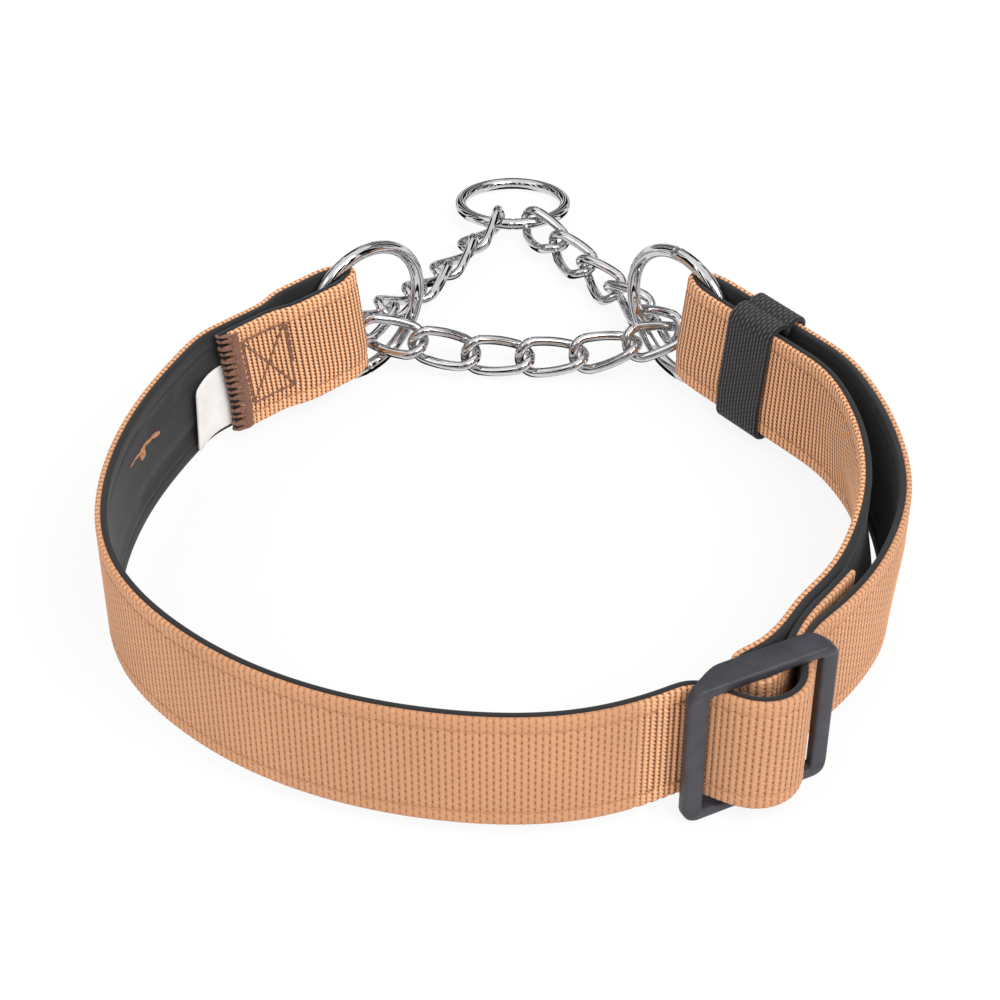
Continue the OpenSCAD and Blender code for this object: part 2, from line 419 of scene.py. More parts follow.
@dataclass(frozen=True)
class WovenFinish:
    """Tan nylon webbing: twisted cords across the width, with warp threads sunk between them.

    Its colour follows the relief, with painted shade in the grooves and painted highlights on the
    cord tops. The weave is close along the front and stands open at the sewn ends, in the pleats by
    the slider and along the right side, where its deep gaps carry darker painted shade.
    """

    # Colour stops by relief height: gap and shadow are painted shade in the grooves, and lit is a
    # painted highlight on the cord tops; the open_ stops do the same for the open weave.
    lit: tuple[float, float, float] = srgb(198, 143, 103)
    cord: tuple[float, float, float] = srgb(190, 134, 95)
    shadow: tuple[float, float, float] = srgb(156, 104, 72)
    gap: tuple[float, float, float] = srgb(104, 60, 38)
    open_lit: tuple[float, float, float] = srgb(255, 201, 152)
    open_cord: tuple[float, float, float] = srgb(222, 153, 107)
    open_shadow: tuple[float, float, float] = srgb(154, 88, 57)
    open_gap_shade: tuple[float, float, float] = srgb(58, 24, 14)
    pitch: float = 1.15
    bead: float = 0.92
    slant: float = 1.1
    dot: float = 1.6
    middle: float = 12.8
    margin: float = 9.6
    margin_height: float = 0.85
    margin_share: float = 0.3
    fibre: float = 0.3
    mottle: float = 0.3
    dot_depth: float = 0.75
    hole_depth: float = 0.7
    bead_height: float = 0.4
    # Share of the open weave along the strap: slanted beads whose gaps are painted darker, as painted
    # shade, at the sewn end, in the pleats by the slider and along the right side.
    openness_and_shade: tuple[tuple[float, float], ...] = (
        (0, 1.0),
        (50, 1.0),
        (130, 0.4),
        (210, 0.1),
        (253, 0.1),
        (257, 0.8),
        (264, 0.8),
        (269, 0.2),
        (290, 0.2),
        (330, 0.4),
        (400, 0.9),
        (500, 0.9),
        (STRAP_LENGTH, 0.4),
    )

    def material(self) -> bpy.types.Material:
        """Returns the webbing's material."""
        mix = Recipe("tan_webbing")
        u, v, _ = mix.parts(mix.uv_point())
        phase = mix.math("DIVIDE", u, self.pitch)
        rib = mix.math("ABSOLUTE", mix.wave(phase))
        fibre = mix.noise(mix.uv_point(), 3.0, 3.0, (2.5, 0.7, 1))
        fibre = mix.math("MULTIPLY", mix.math("SUBTRACT", fibre, 0.5), self.fibre)
        patch = mix.noise(mix.object_point(), 45.0, 3.0)
        off = mix.math("ABSOLUTE", mix.math("SUBTRACT", v, self.middle))
        edge = mix.math("MULTIPLY", mix.math("GREATER_THAN", off, self.margin), self.margin_share)
        heights = []
        for weave in (self.close_height, self.open_height):
            height = mix.math("ADD", weave(mix, phase, rib, v), fibre)
            short = mix.math("SUBTRACT", self.margin_height, height)
            heights.append(mix.math("ADD", height, mix.math("MULTIPLY", short, edge)))
        close, wide = heights
        # Colour by relief height: painted shade in the grooves, gaps and dots, and painted highlight
        # on the cord tops.
        tight = mix.ramp(
            close, ((0.1, self.gap), (0.4, self.shadow), (0.75, self.cord), (1.0, self.lit))
        )
        loose = mix.ramp(
            wide,
            (
                (0.22, self.open_gap_shade),
                (0.42, self.open_shadow),
                (0.6, self.open_cord),
                (0.9, self.open_lit),
            ),
        )
        # Blend towards the open weave, whose darker gaps are painted shade.
        stops = tuple((arc / STRAP_LENGTH, (share,) * 3) for arc, share in self.openness_and_shade)
        share = mix.ramp(mix.math("DIVIDE", u, STRAP_LENGTH), stops)
        colour = mix.mixed(share, tight, loose)
        tone = mix.math("MULTIPLY_ADD", patch, self.mottle, 1 - self.mottle / 2)
        mix.feed(mix.shader.inputs["Base Color"], mix.shade(colour, tone))
        mix.feed(mix.shader.inputs["Roughness"], mix.math("MULTIPLY_ADD", wide, -0.2, 0.85))
        mix.plain(Sheen_Weight=0.04, Sheen_Roughness=0.5)
        mix.relief(mix.mixed(share, close, wide), 0.0003, 0.6)
        return mix.material

    def close_height(
        self,
        mix: Recipe,
        phase: bpy.types.NodeSocket,
        rib: bpy.types.NodeSocket,
        v: bpy.types.NodeSocket,
    ) -> bpy.types.NodeSocket:
        """Gives the height of the close weave: smooth cords, with sunk dots in the grooves that the
        ramp paints as shade.

        Args:
            mix: Recipe to add to.
            phase: Place along the strap, counted in cords.
            rib: Roundness of the cords.
            v: Place across the strap.

        Returns:
            The height, about 0 to 1.
        """
        column = mix.math("FLOOR", mix.math("ADD", phase, 0.5))
        wave = mix.wave(mix.math("ADD", mix.math("DIVIDE", v, self.dot), mix.stagger(column)))
        dot = mix.math("MULTIPLY", wave, wave)
        groove = mix.math("POWER", mix.math("SUBTRACT", 1.0, rib), 2.2)
        depth = mix.math("MULTIPLY", groove, mix.math("MULTIPLY_ADD", dot, self.dot_depth, 0.15))
        return mix.math("SUBTRACT", mix.math("MULTIPLY_ADD", dot, -0.06, 1.0), depth)

    def open_height(
        self,
        mix: Recipe,
        phase: bpy.types.NodeSocket,
        rib: bpy.types.NodeSocket,
        v: bpy.types.NodeSocket,
    ) -> bpy.types.NodeSocket:
        """Gives the height of the open weave: slanted beads between deep gaps, which the ramp paints
        as shade.

        Args:
            mix: Recipe to add to.
            phase: Place along the strap, counted in cords.
            rib: Roundness of the cords.
            v: Place across the strap.

        Returns:
            The height, about 0 to 1.
        """
        place = mix.math("DIVIDE", v, self.bead)
        odd = mix.stagger(mix.math("FLOOR", phase))
        twist = mix.math("MULTIPLY_ADD", mix.math("FRACT", phase), self.slant, odd)
        bead = mix.math("ABSOLUTE", mix.wave(mix.math("ADD", place, twist)))
        column = mix.math("FLOOR", mix.math("ADD", phase, 0.5))
        off = mix.math("SUBTRACT", phase, column)
        slit = mix.math("MULTIPLY_ADD", off, self.slant, mix.stagger(column))
        wave = mix.wave(mix.math("ADD", place, slit))
        hole = mix.math("MULTIPLY", wave, wave)
        groove = mix.math("SUBTRACT", 1.0, rib)
        depth = mix.math("MULTIPLY", groove, mix.math("MULTIPLY_ADD", hole, self.hole_depth, 0.4))
        top = mix.math("MULTIPLY_ADD", bead, self.bead_height, 1 - self.bead_height)
        return mix.math("SUBTRACT", top, depth)


@dataclass(frozen=True)
class NeopreneFinish:
    """Black neoprene lining with a knitted face, and lighter streaks along its length painted as the
    light and shade of fine wrinkles.
    """

    face: tuple[float, float, float] = srgb(20, 19, 22)
    # Lighter colour of the streaks: painted light on fine wrinkles.
    wrinkle_light: tuple[float, float, float] = srgb(34, 32, 36)
    wale: float = 0.6
    course: float = 0.45

    def material(self) -> bpy.types.Material:
        """Returns the lining's material."""
        mix = Recipe("black_lining")
        u, v, _ = mix.parts(mix.uv_point())
        knit = mix.math("SINE", mix.math("MULTIPLY", v, 2 * math.pi / self.wale))
        loops = mix.math("SINE", mix.math("MULTIPLY", u, 2 * math.pi / self.course))
        fuzz = mix.noise(mix.object_point(), 2600.0, 3.0)
        # Long streaks along the length: painted light and shade of fine wrinkles.
        wrinkle_streak = mix.noise(mix.uv_point(), 0.5, 3.0, (0.12, 1.6, 1))
        height = mix.math("MULTIPLY_ADD", mix.math("MULTIPLY", knit, loops), 0.2, fuzz)
        tone = mix.math("MULTIPLY_ADD", wrinkle_streak, 0.7, mix.math("MULTIPLY", fuzz, 0.3))
        colour = mix.ramp(tone, ((0.3, self.face), (0.75, self.wrinkle_light)))
        mix.feed(mix.shader.inputs["Base Color"], colour)
        mix.feed(mix.shader.inputs["Roughness"], mix.math("MULTIPLY_ADD", fuzz, 0.15, 0.78))
        mix.plain(Sheen_Weight=0.1, Sheen_Roughness=0.6)
        mix.relief(height, 0.00008, 0.5)
        return mix.material


@dataclass(frozen=True)
class MouldedFinish:
    """Satin plastic of the slider, with a fine moulded grain."""

    body: tuple[float, float, float] = srgb(48, 47, 54)
    rub: tuple[float, float, float] = srgb(66, 65, 73)

    def material(self) -> bpy.types.Material:
        """Returns the slider's material."""
        mix = Recipe("satin_plastic")
        grain = mix.noise(mix.object_point(), 3800.0, 2.0)
        flow = mix.noise(mix.object_point(), 260.0, 3.0)
        colour = mix.ramp(flow, ((0.35, self.body), (0.85, self.rub)))
        mix.feed(mix.shader.inputs["Base Color"], colour)
        mix.feed(mix.shader.inputs["Roughness"], mix.math("MULTIPLY_ADD", flow, 0.16, 0.4))
        mix.relief(grain, 0.00004, 0.35)
        return mix.material


@dataclass(frozen=True)
class ChromeFinish:
    """Polished chrome plate, with faint wipe marks."""

    plate: tuple[float, float, float] = (0.7, 0.69, 0.7)
    dull: tuple[float, float, float] = (0.5, 0.49, 0.5)

    def material(self) -> bpy.types.Material:
        """Returns the metal's material."""
        mix = Recipe("chrome_plate")
        wipe = mix.noise(mix.object_point(), 420.0, 4.0)
        pit = mix.noise(mix.object_point(), 1800.0, 2.0)
        colour = mix.ramp(wipe, ((0.3, self.plate), (0.9, self.dull)))
        mix.feed(mix.shader.inputs["Base Color"], colour)
        mix.feed(mix.shader.inputs["Roughness"], mix.math("MULTIPLY_ADD", wipe, 0.08, 0.02))
        mix.plain(Metallic=1.0)
        mix.relief(pit, 0.00003, 0.12)
        return mix.material


@dataclass(frozen=True)
class ElasticFinish:
    """Black elastic of the keeper: round cords with a knitted cover, near black in the sunk gaps as
    painted shade.
    """

    cord: tuple[float, float, float] = srgb(86, 83, 89)
    # Near black of the sunk gaps between cords and loops: painted shade.
    gap: tuple[float, float, float] = srgb(8, 8, 9)
    cover: float = 1.1

    def material(self) -> bpy.types.Material:
        """Returns the keeper's material."""
        mix = Recipe("black_elastic")
        u, v, _ = mix.parts(mix.uv_point())
        cord = mix.math("ABSOLUTE", mix.wave(v))
        odd = mix.stagger(mix.math("FLOOR", v))
        turn = mix.math("ADD", mix.math("DIVIDE", u, self.cover), odd)
        loop = mix.math("ABSOLUTE", mix.wave(turn))
        fuzz = mix.noise(mix.object_point(), 2200.0, 2.0)
        height = mix.math("MULTIPLY", cord, mix.math("MULTIPLY_ADD", loop, 0.5, 0.5))
        # Colour by relief height: painted shade in the gaps, lighter on the tops of cords and loops.
        tone = mix.math("MULTIPLY_ADD", fuzz, 0.3, mix.math("MULTIPLY", height, 0.8))
        colour = mix.ramp(tone, ((0.48, self.gap), (1.0, self.cord)))
        mix.feed(mix.shader.inputs["Base Color"], colour)
        mix.plain(Roughness=0.72, Sheen_Weight=0.12)
        mix.relief(height, 0.0002, 0.6)
        return mix.material


@dataclass(frozen=True)
class LabelFinish:
    """White satin label, woven fine and left bare."""

    face: tuple[float, float, float] = srgb(250, 248, 246)
    # Slightly darker colour in soft noise patches: painted shade of soft folds.
    fold_shade: tuple[float, float, float] = srgb(240, 238, 235)
    warp: float = 0.28
    weft: float = 0.22

    def material(self) -> bpy.types.Material:
        """Returns the label's material."""
        mix = Recipe("white_label")
        u, v, _ = mix.parts(mix.uv_point())
        warp = mix.math("SINE", mix.math("MULTIPLY", u, 2 * math.pi / self.warp))
        weft = mix.math("SINE", mix.math("MULTIPLY", v, 2 * math.pi / self.weft))
        soft = mix.noise(mix.object_point(), 220.0, 3.0)
        # Soft noise patches of painted fold shade on the white satin.
        colour = mix.ramp(soft, ((0.3, self.fold_shade), (0.6, self.face)))
        mix.feed(mix.shader.inputs["Base Color"], colour)
        mix.feed(mix.shader.inputs["Roughness"], mix.math("MULTIPLY_ADD", soft, 0.2, 0.45))
        mix.relief(mix.math("MULTIPLY", warp, weft), 0.00003, 0.25)
        return mix.material


@dataclass(frozen=True)
class ThreadFinish:
    """Twisted sewing thread of one colour."""

    name: str
    colour: tuple[float, float, float]
    dark: tuple[float, float, float]

    def material(self) -> bpy.types.Material:
        """Returns the thread's material."""
        mix = Recipe(self.name)
        twist = mix.noise(mix.object_point(), 4200.0, 2.0)
        colour = mix.ramp(twist, ((0.3, self.dark), (0.65, self.colour)))
        mix.feed(mix.shader.inputs["Base Color"], colour)
        mix.plain(Roughness=0.6, Sheen_Weight=0.1)
        mix.relief(twist, 0.00006, 0.5)
        return mix.material


def finish_piece(
    mesh_name: str, shape: bmesh.types.BMesh, material: bpy.types.Material
) -> bpy.types.Object:
    """Turns a finished bmesh into a piece at the origin.

    Args:
        mesh_name: Name of the piece.
        shape: The bmesh, which is freed.
        material: Material of the piece.

    Returns:
        The new object.
    """
    bmesh.ops.recalc_face_normals(shape, faces=shape.faces)
    mesh = bpy.data.meshes.new(mesh_name)
    shape.to_mesh(mesh)
    shape.free()
    mesh.materials.append(material)
    piece = bpy.data.objects.new(mesh_name, mesh)
    bpy.context.scene.collection.objects.link(piece)
    LOG.info("%s: %d faces", mesh_name, len(mesh.polygons))
    return piece


def add_surface(shape: bmesh.types.BMesh, table: np.ndarray, chart: np.ndarray) -> None:
    """Adds a surface to a bmesh: a grid laid over a table of places, welded where it closes.

    Args:
        shape: The bmesh to add to.
        table: Places in millimetres, by station, place in the section and axis.
        chart: UV places in millimetres, by station, place in the section and axis.
    """
    stations, places = table.shape[0] - 1, table.shape[1] - 1
    layer = shape.loops.layers.uv.verify()
    made = bmesh.ops.create_grid(shape, x_segments=stations, y_segments=places, size=1.0)
    seat = {}
    for vert in made["verts"]:
        i = round((vert.co.x + 1) / 2 * stations)
        j = round((vert.co.y + 1) / 2 * places)
        seat[vert] = (i, j)
        vert.co = Vector(table[i, j]) * MM
    for face in {face for vert in made["verts"] for face in vert.link_faces}:
        face.smooth = True
        for loop in face.loops:
            loop[layer].uv = chart[seat[loop.vert]]
    bmesh.ops.remove_doubles(shape, verts=made["verts"], dist=1e-7)
    rim = [edge for edge in shape.edges if edge.is_boundary]
    for edge in rim:
        edge.smooth = False
    for face in bmesh.ops.holes_fill(shape, edges=rim, sides=0)["faces"]:
        face.smooth = False


def charted(across: np.ndarray, along: np.ndarray) -> np.ndarray:
    """Makes a UV table from the two rulers of a surface.

    Args:
        across: Places across the section, in millimetres.
        along: Places of the stations, in millimetres.

    Returns:
        The table of UV places.
    """
    return np.stack(np.meshgrid(along, across, indexing="ij"), axis=-1)


def rounded_section(
    low: tuple[float, float], high: tuple[float, float], radius: float, steps: int = 3
) -> np.ndarray:
    """Makes the closed outline of a rectangle with round corners.

    Args:
        low: Lowest corner.
        high: Highest corner.
        radius: Radius of its corners.
        steps: Steps of each corner.

    Returns:
        Points in order, the last the same as the first.
    """
    left, bottom = low[0] + radius, low[1] + radius
    right, top = high[0] - radius, high[1] - radius
    points = []
    for quarter, (cx, cy) in enumerate(((right, top), (left, top), (left, bottom), (right, bottom))):
        for k in range(steps + 1):
            a = math.radians(90 * (quarter + k / steps))
            points.append((cx + radius * math.cos(a), cy + radius * math.sin(a)))
    return np.array(points + points[:1])


class StrapPath:
    """Bond line between webbing and lining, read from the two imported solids."""

    def __init__(self, webbing: bpy.types.Object, lining: bpy.types.Object) -> None:
        """Follows the upper edge that the two solids share.

        Args:
            webbing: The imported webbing.
            lining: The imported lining.
        """
        outer = self.top_loop(webbing)
        inner = self.top_loop(lining)
        tree = KDTree(len(inner))
        for index, point in enumerate(inner):
            tree.insert(point, index)
        tree.balance()
        shared = [tree.find(point)[2] < 1e-5 for point in outer]
        first = next(i for i in range(len(outer)) if shared[i] and not shared[i - 1])
        line = [outer[(first + i) % len(outer)] for i in range(sum(shared))]
        if line[0].x > line[-1].x:
            line.reverse()
        self.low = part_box(webbing.name)[0].z / MM
        self.points = np.array([(p.x, p.y) for p in line]) / MM
        self.arc = ruler(self.points)
        self.heading = np.gradient(self.points, self.arc, axis=0)

    @staticmethod
    def top_loop(node: bpy.types.Object) -> list[Vector]:
        """Returns the outline of a standing band's upper face, in order.

        Args:
            node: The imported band.

        Returns:
            Points of the outline, in metres.
        """
        shape = bmesh.new()
        shape.from_mesh(node.data)
        bmesh.ops.remove_doubles(shape, verts=shape.verts, dist=2e-6)
        top = max(vert.co.z for vert in shape.verts) - 1e-5
        lids = {face for face in shape.faces if all(v.co.z > top for v in face.verts)}
        near: dict = {}
        for edge in shape.edges:
            if len(lids.intersection(edge.link_faces)) == 1:
                a, b = edge.verts
                near.setdefault(a, []).append(b)
                near.setdefault(b, []).append(a)
        start = next(iter(near))
        loop, back = [start], None
        while True:
            ahead = [vert for vert in near[loop[-1]] if vert is not back][0]
            back = loop[-1]
            if ahead is start:
                break
            loop.append(ahead)
        points = [vert.co.copy() for vert in loop]
        shape.free()
        return points

    def sample(self, arc: np.ndarray) -> tuple[np.ndarray, np.ndarray]:
        """Gives smooth points of the line.

        Args:
            arc: Arc lengths, in millimetres.

        Returns:
            The points, and the unit directions from webbing to lining there.
        """
        arc = np.clip(np.asarray(arc, float), 0, self.arc[-1])
        k = np.clip(np.searchsorted(self.arc, arc, side="right") - 1, 0, len(self.arc) - 2)
        span = (self.arc[k + 1] - self.arc[k])[:, None]
        t = ((arc - self.arc[k]) / span[:, 0])[:, None]
        p, q = self.points[k], self.points[k + 1]
        m, n = self.heading[k] * span, self.heading[k + 1] * span
        place = (
            (2 * t**3 - 3 * t**2 + 1) * p
            + (t**3 - 2 * t**2 + t) * m
            + (3 * t**2 - 2 * t**3) * q
            + (t**3 - t**2) * n
        )
        way = (
            (6 * t**2 - 6 * t) * p
            + (3 * t**2 - 4 * t + 1) * m
            + (6 * t - 6 * t**2) * q
            + (3 * t**2 - 2 * t) * n
        )
        way = way / np.linalg.norm(way, axis=1)[:, None]
        return place, np.stack((-way[:, 1], way[:, 0]), axis=1)

    def place(self, arc: np.ndarray, depth: np.ndarray, height: np.ndarray) -> np.ndarray:
        """Gives places on the strap.

        Args:
            arc: Arc lengths of the stations.
            depth: Distances from the bond towards the lining, by station and place.
            height: Heights above the strap's lower edge, by station and place.

        Returns:
            Places in millimetres.
        """
        point, side = self.sample(arc)
        flat = point[:, None, :] + depth[:, :, None] * side[:, None, :]
        for lean in LEANS:
            flat = flat + lean.shift(np.asarray(arc, float)[:, None], height)
        return np.concatenate((flat, (height + self.low)[:, :, None]), axis=2)

    def spot(self, arc: float, depth: float, height: float) -> Vector:
        """Returns one place on the strap, in metres."""
        table = self.place(np.array([arc]), np.array([[depth]]), np.array([[height]]))
        return Vector(table[0, 0]) * MM


@dataclass(frozen=True)
class Crease:
    """Crease pressed into the lining, sharp above and soft below.

    Attributes:
        start: Arc length and height of its first end, in millimetres.
        end: Arc length and height of its second end.
        depth: Depth of the crease.
        soft: Width of its soft side.
    """

    start: tuple[float, float]
    end: tuple[float, float]
    depth: float
    soft: float


@dataclass(frozen=True)
class BandShape:
    """Section of a band, by the rows round its lower edge, which the upper edge mirrors.

    A row has a depth from the bond towards the lining, a height and a share of the face's relief.

    Attributes:
        face: Depth of the open face.
        edge: Rows from the edge up to the face.
        back: Rows from the edge to the bonded side.
        groove: Width of the groove that a seam pulls into the face.
    """

    face: float
    edge: tuple[tuple[float, float, float], ...]
    back: tuple[tuple[float, float, float], ...]
    groove: float

    def ring(self, heights: list[float], width: float) -> np.ndarray:
        """Closes the section.

        Args:
            heights: Heights of the rows over the face.
            width: Width of the band.

        Returns:
            The rows in order, the last the same as the first.
        """
        front = list(self.edge) + [(self.face, height, 1.0) for height in heights]
        upper = self.edge[::-1] + self.back
        mirrored = [(depth, width - height, share) for depth, height, share in upper]
        return np.array(front + mirrored + list(self.back[::-1]) + front[:1])


@dataclass
class LinedStrap:
    """Webbing and bonded lining, in stretches; those of the strap and the slider move with them."""

    path: StrapPath
    woven: bpy.types.Material
    knitted: bpy.types.Material
    width: float = 25.0
    webbing: BandShape = BandShape(
        -1.1, ((-0.7, 0.0, 0.3), (-0.98, 0.14, 0.7)), ((-0.2, 0.0, 0.2), (-0.02, 0.2, 0)), 0.36
    )
    lining: BandShape = BandShape(
        1.2, ((0.8, 0.0, 0.0), (1.08, 0.14, 0.3)), ((0.15, 0.0, 0), (0.0, 0.15, 0)), 0.3
    )
    lining_step: float = 0.6
    seam_in: float = 3.0
    seam_depth: float = 0.15
    rib_pitch: float = 1.15
    rib_depth: float = 0.16
    rib_round: float = 0.8
    trim: float = 1.9
    creases: tuple[Crease, ...] = (
        Crease((71.0, 21.5), (90.0, 18.2), 0.5, 1.3),
        Crease((85.0, 18.4), (103.0, 19.6), 0.5, 1.3),
        Crease((89.0, 20.6), (105.0, 21.6), 0.3, 0.8),
        Crease((79.0, 6.4), (111.0, 6.8), 0.85, 2.2),
        Crease((107.0, 7.0), (147.0, 5.2), 0.3, 1.6),
    )
    crease_sharp: float = 0.3
    pleats: tuple[float, ...] = (254.4, 257.0, 259.2, 261.0, 262.6)
    pleat_ribs: float = 1.8
    pleat_width: float = 0.35

    def seam_rows(self) -> list[float]:
        """Returns heights of the rows over one face, closer at the edges and seams."""
        half = [0.45, 1.1, 2.0, 2.6, 2.85, 3.0, 3.15, 3.4, 4.2, 6.0, 8.0, 10.2]
        return half + [self.width / 2] + [self.width - v for v in reversed(half)]

    def seam_dent(self, height: np.ndarray, groove: float) -> np.ndarray:
        """Gives the depth to which both seams pull a face in.

        Args:
            height: Heights above the lower edge.
            groove: Width of the groove.

        Returns:
            Depths in millimetres.
        """
        seams = (self.seam_in, self.width - self.seam_in)
        return self.seam_depth * sum(np.exp(-(((height - seam) / groove) ** 2)) for seam in seams)

    def band(
        self,
        name: str,
        material: bpy.types.Material,
        arc: np.ndarray,
        ring: np.ndarray,
        relief: np.ndarray,
    ) -> bpy.types.Object:
        """Lays a band along the strap.

        Args:
            name: Name of the piece.
            material: Material of the piece.
            arc: Arc lengths of the stations.
            ring: Rows of the section.
            relief: Shift of the face towards the lining, by station and row.

        Returns:
            The piece.
        """
        depth = ring[None, :, 0] + relief * ring[None, :, 2]
        height = np.broadcast_to(ring[None, :, 1], depth.shape)
        shape = bmesh.new()
        add_surface(shape, self.path.place(arc, depth, height), charted(ruler(ring[:, :2]), arc))
        return finish_piece(name, shape, material)

    def webbing_piece(self, span: Span) -> bpy.types.Object:
        """Models one stretch of webbing with its cords, pleats and sunken seams.

        Args:
            span: The stretch.

        Returns:
            The piece.
        """
        arc = replace(span, start=max(span.start, self.trim)).stations(self.rib_pitch / 4)
        ring = self.webbing.ring(self.seam_rows(), self.width)
        rib = 1 - np.abs(np.sin(math.pi * arc / self.rib_pitch)) ** self.rib_round
        for pleat in self.pleats:
            rib = rib + self.pleat_ribs * np.exp(-(((arc - pleat) / self.pleat_width) ** 2))
        sunk = self.seam_dent(ring[None, :, 1], self.webbing.groove)
        relief = self.rib_depth * rib[:, None] + sunk
        return self.band(f"webbing_{span.name}", self.woven, arc, ring, relief)

    def lining_piece(self, span: Span) -> bpy.types.Object:
        """Models one stretch of lining with soft edges, its creases and sunken seams.

        Args:
            span: The stretch.

        Returns:
            The piece.
        """
        arc = span.stations(self.lining_step)
        ring = self.lining.ring(self.seam_rows(), self.width)
        sunk = self.seam_dent(ring[None, :, 1], self.lining.groove)
        relief = -(sunk + self.crease_depth(arc[:, None], ring[None, :, 1]))
        return self.band(f"lining_{span.name}", self.knitted, arc, ring, relief)

    def crease_depth(self, arc: np.ndarray, height: np.ndarray) -> np.ndarray:
        """Gives the depth of the lining's creases.

        Args:
            arc: Arc lengths.
            height: Heights above the lower edge.

        Returns:
            Depths in millimetres.
        """
        depth = np.zeros(np.broadcast(arc, height).shape)
        for crease in self.creases:
            run = (arc - crease.start[0]) / (crease.end[0] - crease.start[0])
            inside = np.clip(run, 0, 1)
            below = crease.start[1] + (crease.end[1] - crease.start[1]) * inside - height
            fade = np.clip(8 * inside * (1 - inside), 0, 1)
            wide = np.where(below > 0, crease.soft, self.crease_sharp)
            side = np.exp(-((below / wide) ** 2))
            depth += crease.depth * fade * side
        return depth

    def dress(self) -> None:
        """Builds every stretch and attaches those of the strap and slider to what they move with."""
        for span in SPANS:
            web = self.webbing_piece(span)
            lin = self.lining_piece(span)
            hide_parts("webbing")
            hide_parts("lining")
            carry(web, span.carrier, self.path)
            carry(lin, span.carrier, self.path)


def carry(piece: bpy.types.Object, carrier: Carrier, path: StrapPath) -> None:
    """Attaches a strap piece to the strap or slider that it moves with; a front or side piece stays
    where it was built.

    Args:
        piece: The piece.
        carrier: What it moves with.
        path: The strap's bond line.
    """
    if carrier is Carrier.FRONT:
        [path.spot(arc, 0, 0) for arc in FRONT_BLEND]
        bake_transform(piece)
    elif carrier is Carrier.SIDE:
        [path.spot(arc, 0, 0) for arc in SIDE_BLEND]
        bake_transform(piece)
    else:
        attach(piece, carrier.value)


